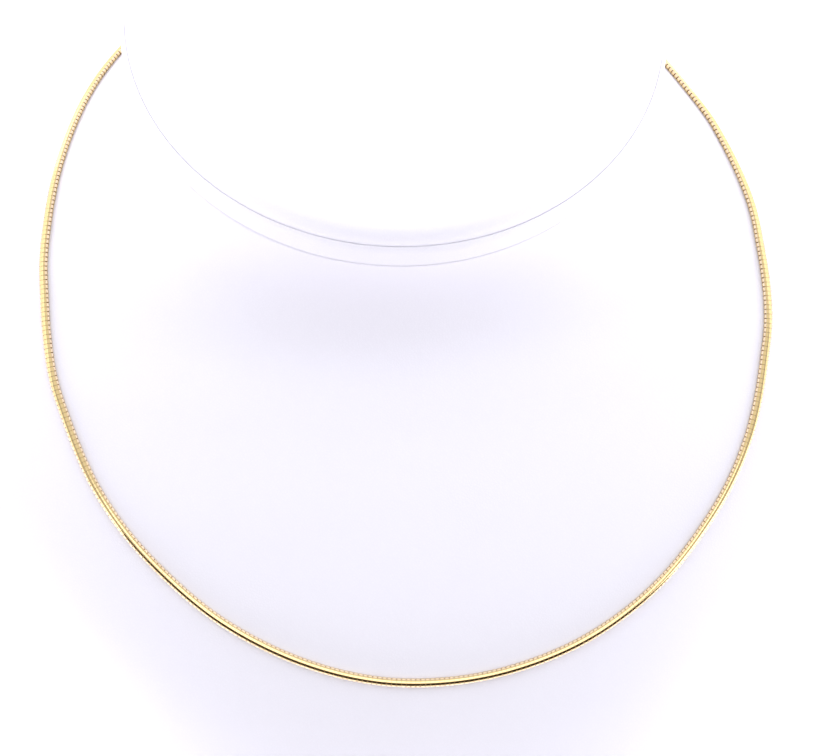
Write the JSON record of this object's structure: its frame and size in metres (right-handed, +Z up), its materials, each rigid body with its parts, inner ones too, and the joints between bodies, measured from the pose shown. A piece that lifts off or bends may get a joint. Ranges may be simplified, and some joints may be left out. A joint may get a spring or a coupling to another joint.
{
  "type": "omega chain necklace on a neck bust",
  "caption": "Slim gold omega chain of domed plates crimped side by side, closed by a box clasp at the nape, on a covered white neck bust.",
  "frame": {"origin": "on the surface that the bust stands on, under the middle of its bounding box", "axes": "+Z up, -Y towards the front of the chest, +X towards the right of the picture"},
  "size_m": [0.182, 0.1273, 0.2031],
  "materials": {
    "leatherette": "fine pebble grain, satin",
    "gold": "polished yellow gold"
  },
  "bodies": {
    "root": {"bust_body": "leatherette", "neck_rim": "leatherette", "neck_panel": "leatherette", "chain": "gold", "end_cap_left": "gold", "end_cap_right": "gold", "clasp": "gold"}
  },
  "joints": []
}
